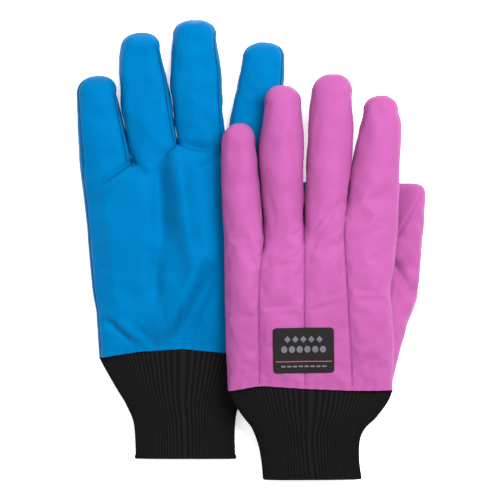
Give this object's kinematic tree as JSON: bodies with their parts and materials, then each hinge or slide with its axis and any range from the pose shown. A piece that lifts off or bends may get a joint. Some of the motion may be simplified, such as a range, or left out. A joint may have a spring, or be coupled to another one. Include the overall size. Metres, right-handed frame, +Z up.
{
  "type": "cryogenic gloves",
  "caption": "Pair of padded cryogenic gloves with rib-knit wrists: one lies palm up, the other lies across it with its back up.",
  "frame": {"origin": "centre of the pair's footprint, on the table it lies on", "axes": "+Y along the fingers towards the fingertips, +X towards the thumb of the upper glove, +Z up"},
  "size_m": [0.2596, 0.346, 0.0545],
  "materials": {
    "blue_nylon": "coated plain-weave nylon, soft sheen",
    "pink_nylon": "coated plain-weave nylon, soft sheen",
    "rib_knit": "double rib knit, matt",
    "insulation": "multi-layer batting, matt",
    "fleece": "brushed fleece, matt",
    "woven_label": "woven label, blank"
  },
  "bodies": {
    "right_hand": {"right_palm_panel": "blue_nylon", "right_back_strip_pinky": "blue_nylon", "right_back_strip_ring": "blue_nylon", "right_back_strip_middle": "blue_nylon", "right_back_strip_index": "blue_nylon", "right_hand_insulation": "insulation", "right_hand_lining": "fleece", "right_knit_cuff": "rib_knit", "right_label": "woven_label", "right_index_front": "blue_nylon", "right_index_back": "blue_nylon", "right_index_liner": "insulation", "right_index_fourchette_to_middle": "blue_nylon"},
    "right_pinky": {"right_pinky_front": "blue_nylon", "right_pinky_back": "blue_nylon", "right_pinky_liner": "insulation", "right_pinky_fourchette_to_ring": "blue_nylon"},
    "right_ring": {"right_ring_front": "blue_nylon", "right_ring_back": "blue_nylon", "right_ring_liner": "insulation", "right_ring_fourchette_to_pinky": "blue_nylon", "right_ring_fourchette_to_middle": "blue_nylon"},
    "right_middle": {"right_middle_front": "blue_nylon", "right_middle_back": "blue_nylon", "right_middle_liner": "insulation", "right_middle_fourchette_to_ring": "blue_nylon", "right_middle_fourchette_to_index": "blue_nylon"},
    "right_thumb": {"right_thumb_front": "blue_nylon", "right_thumb_back": "blue_nylon", "right_thumb_liner": "insulation"},
    "left_hand": {"left_palm_panel": "pink_nylon", "left_back_strip_pinky": "pink_nylon", "left_back_strip_ring": "pink_nylon", "left_back_strip_middle": "pink_nylon", "left_back_strip_index": "pink_nylon", "left_hand_insulation": "insulation", "left_hand_lining": "fleece", "left_knit_cuff": "rib_knit", "left_label": "woven_label"},
    "left_pinky": {"left_pinky_front": "pink_nylon", "left_pinky_back": "pink_nylon", "left_pinky_liner": "insulation", "left_pinky_fourchette_to_ring": "pink_nylon"},
    "left_ring": {"left_ring_front": "pink_nylon", "left_ring_back": "pink_nylon", "left_ring_liner": "insulation", "left_ring_fourchette_to_pinky": "pink_nylon", "left_ring_fourchette_to_middle": "pink_nylon"},
    "left_middle": {"left_middle_front": "pink_nylon", "left_middle_back": "pink_nylon", "left_middle_liner": "insulation", "left_middle_fourchette_to_ring": "pink_nylon", "left_middle_fourchette_to_index": "pink_nylon"},
    "left_index": {"left_index_front": "pink_nylon", "left_index_back": "pink_nylon", "left_index_liner": "insulation", "left_index_fourchette_to_middle": "pink_nylon"},
    "left_thumb": {"left_thumb_front": "pink_nylon", "left_thumb_back": "pink_nylon", "left_thumb_liner": "insulation"}
  },
  "joints": [
    {"name": "left_glove_lift", "type": "slide", "parent": "right_hand", "child": "left_hand", "axis": [0, 0, 1], "range_m": [0, 0.15]},
    {"name": "right_pinky_curl", "type": "hinge", "parent": "right_hand", "child": "right_pinky", "pos_m": [-0.11002, 0.07005, 0.0259], "axis": [0.9963, 0.0859, 0], "range_deg": [0, 75]},
    {"name": "right_ring_curl", "type": "hinge", "parent": "right_hand", "child": "right_ring", "pos_m": [-0.07422, 0.08205, 0.0259], "axis": [0.9951, 0.0985, 0], "range_deg": [0, 75]},
    {"name": "right_middle_curl", "type": "hinge", "parent": "right_hand", "child": "right_middle", "pos_m": [-0.03592, 0.08205, 0.0259], "axis": [0.9977, 0.0676, 0], "range_deg": [0, 75]},
    {"name": "right_thumb_swing", "type": "hinge", "parent": "right_hand", "child": "right_thumb", "pos_m": [0.04791, -0.01389, 0.014], "axis": [0, 0, -1], "range_deg": [0, 25]},
    {"name": "left_pinky_raise", "type": "hinge", "parent": "left_hand", "child": "left_pinky", "pos_m": [-0.00582, 0.02135, 0.053], "axis": [0.9995, 0.0303, 0], "range_deg": [0, 30]},
    {"name": "left_ring_raise", "type": "hinge", "parent": "left_hand", "child": "left_ring", "pos_m": [0.02458, 0.02655, 0.053], "axis": [1, 0.0031, 0], "range_deg": [0, 30]},
    {"name": "left_middle_raise", "type": "hinge", "parent": "left_hand", "child": "left_middle", "pos_m": [0.05578, 0.03785, 0.053], "axis": [0.998, -0.0639, 0], "range_deg": [0, 30]},
    {"name": "left_index_raise", "type": "hinge", "parent": "left_hand", "child": "left_index", "pos_m": [0.09118, 0.03785, 0.053], "axis": [0.9978, -0.0659, 0], "range_deg": [0, 30]},
    {"name": "left_thumb_swing", "type": "hinge", "parent": "left_hand", "child": "left_thumb", "pos_m": [0.12343, -0.0317, 0.0142], "axis": [0, 0, -1], "range_deg": [0, 35]}
  ]
}
